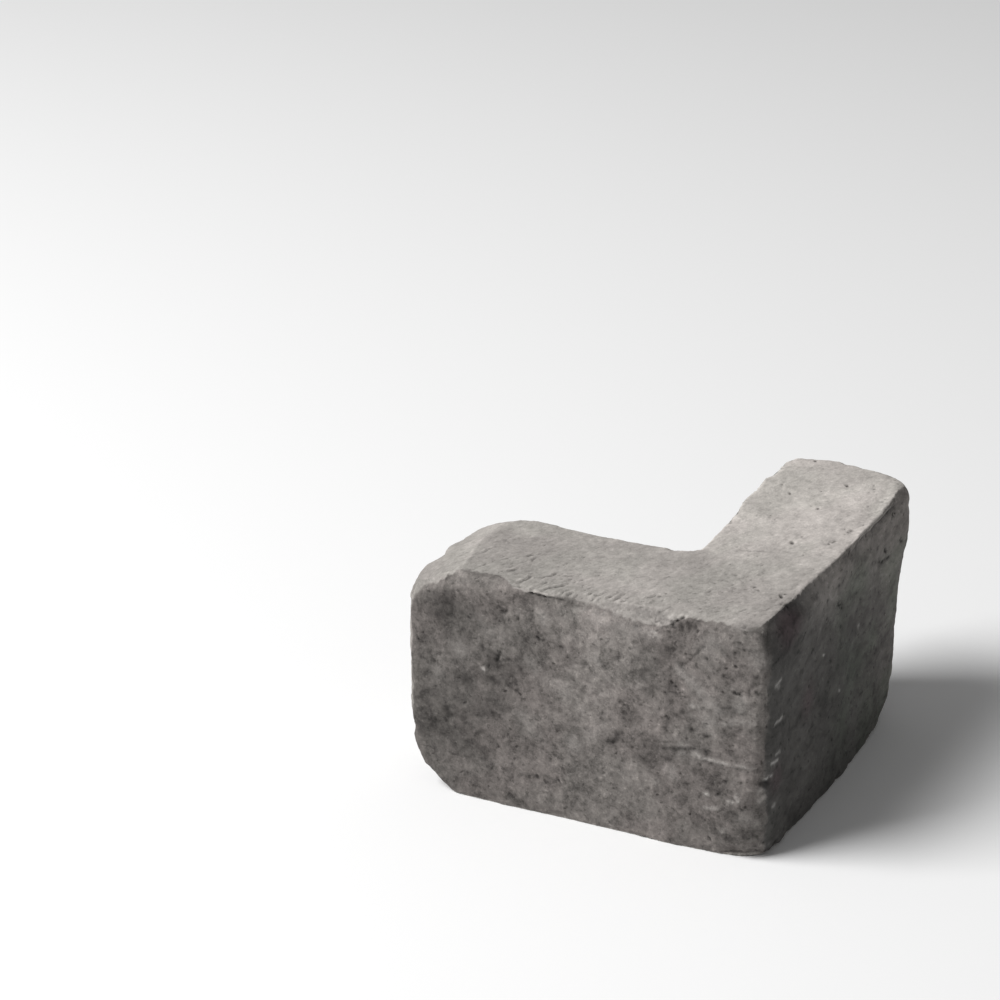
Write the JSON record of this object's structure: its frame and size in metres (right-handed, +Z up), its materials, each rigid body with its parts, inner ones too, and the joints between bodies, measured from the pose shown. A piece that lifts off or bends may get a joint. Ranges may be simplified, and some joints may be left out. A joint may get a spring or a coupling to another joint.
{
  "type": "stone cladding corner piece",
  "caption": "L-shaped cast stone block that wraps the outside corner of a wall, with flat backs and bed, and weathered, rounded outer faces.",
  "frame": {"origin": "under the middle of the block's bounding box, on the bed", "axes": "+Z up; one leg runs along X and its back faces +Y, the other runs along Y and its back faces -X"},
  "size_m": [0.1324, 0.142, 0.0862],
  "materials": {
    "cast_stone": "matte"
  },
  "bodies": {
    "root": {"corner_stone": "cast_stone"}
  },
  "joints": []
}
